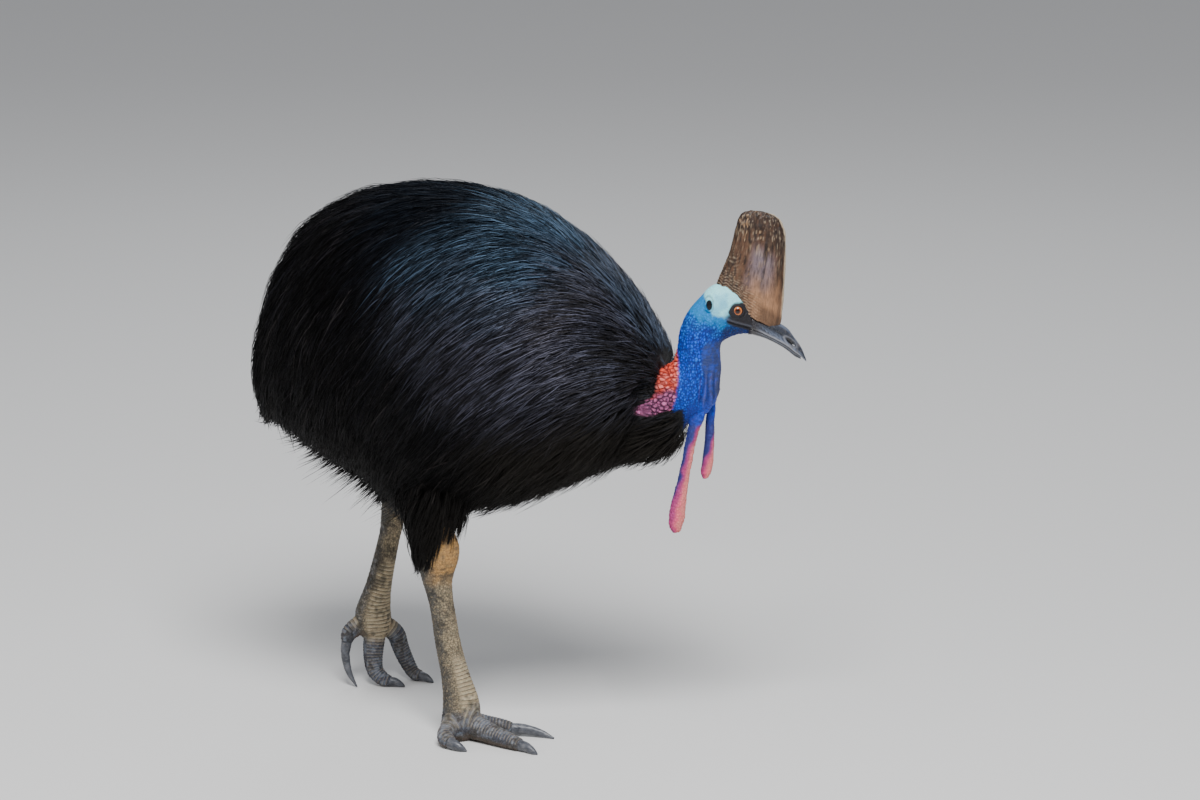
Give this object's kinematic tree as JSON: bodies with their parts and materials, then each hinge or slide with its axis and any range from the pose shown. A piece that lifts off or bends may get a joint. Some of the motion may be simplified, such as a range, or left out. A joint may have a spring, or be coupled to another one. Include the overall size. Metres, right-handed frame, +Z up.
{
  "type": "southern cassowary",
  "caption": "Life-size still model of a southern cassowary standing in mid-step, with its shaggy coat, tall casque, bare neck, wattles and clawed feet.",
  "frame": {"origin": "middle of the bird's box at the level of its soles", "axes": "+X the way the body faces, +Y its left side, +Z up"},
  "size_m": [1.0073, 0.4746, 0.9712],
  "materials": {
    "feather": "glossy black hair-like feathers with a steel-blue sheen",
    "neck_skin": "bare wrinkled cobalt-blue skin",
    "head_skin": "bare pale turquoise skin",
    "wattle_skin": "bare blue skin turning to pink-red",
    "horn": "brown fibrous horn",
    "bill_horn": "grey-black semi-gloss horn",
    "eye": "clear wet eye with an orange-brown iris",
    "leg_scale": "grey-brown scaled skin with tan scutes",
    "claw_horn": "blue-grey horn"
  },
  "bodies": {
    "root": {"torso": "feather", "rump": "feather", "thigh_left": "feather", "thigh_right": "feather", "neck_lower": "feather", "neck_upper": "neck_skin", "head": "head_skin", "casque": "horn", "bill_upper": "bill_horn", "bill_lower": "bill_horn", "eye_left": "eye", "eye_right": "eye", "wattle_left": "wattle_skin", "wattle_right": "wattle_skin", "shank_left": "leg_scale", "shank_right": "leg_scale", "toe_inner_left": "leg_scale", "toe_middle_left": "leg_scale", "toe_outer_left": "leg_scale", "toe_inner_right": "leg_scale", "toe_middle_right": "leg_scale", "toe_outer_right": "leg_scale", "claw_inner_left": "claw_horn", "claw_middle_left": "claw_horn", "claw_outer_left": "claw_horn", "claw_inner_right": "claw_horn", "claw_middle_right": "claw_horn", "claw_outer_right": "claw_horn"}
  },
  "joints": []
}
